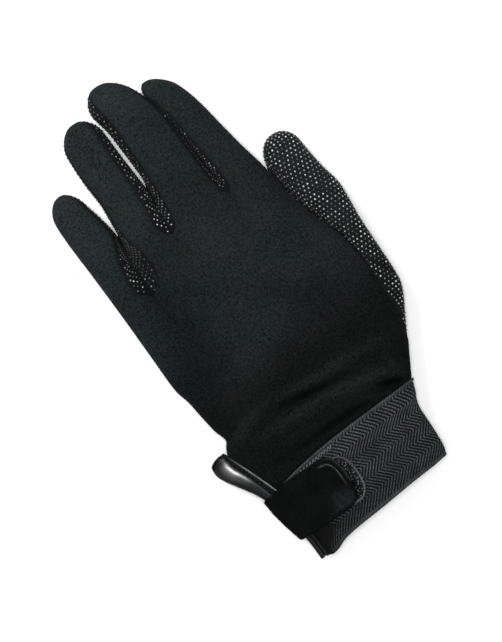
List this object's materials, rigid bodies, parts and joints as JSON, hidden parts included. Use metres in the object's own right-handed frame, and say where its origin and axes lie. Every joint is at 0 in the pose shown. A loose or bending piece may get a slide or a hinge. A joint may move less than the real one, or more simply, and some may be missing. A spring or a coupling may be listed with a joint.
{
  "type": "horse riding glove",
  "caption": "Left-hand riding glove lying on its palm: jersey back, dotted grip palm and thumb, finger side walls, elastic cuff with hook-and-loop tab over a leather-bound vent.",
  "frame": {"origin": "centre of the glove's box on the surface that its palm rests on", "axes": "+Y towards the fingertips, +X towards the thumb, +Z from the palm to the back of the hand"},
  "size_m": [0.1234, 0.2382, 0.021],
  "materials": {
    "jersey": "matt black stretch jersey with a faint nap",
    "grip_fabric": "black woven fabric with raised pale grip dots",
    "elastic": "black herringbone-woven elastic",
    "loop_pile": "black loop pile",
    "tab_suede": "black velvety hook-and-loop tab",
    "binding_leather": "glossy black leather binding"
  },
  "bodies": {
    "root": {"back_panel": "jersey", "palm_panel": "grip_fabric", "fourchette_ring_little": "grip_fabric", "fourchette_middle_ring": "grip_fabric", "fourchette_index_middle": "grip_fabric", "thumb": "grip_fabric", "cuff_band": "elastic", "loop_patch": "loop_pile", "tab": "tab_suede", "vent_binding": "binding_leather"}
  },
  "joints": []
}
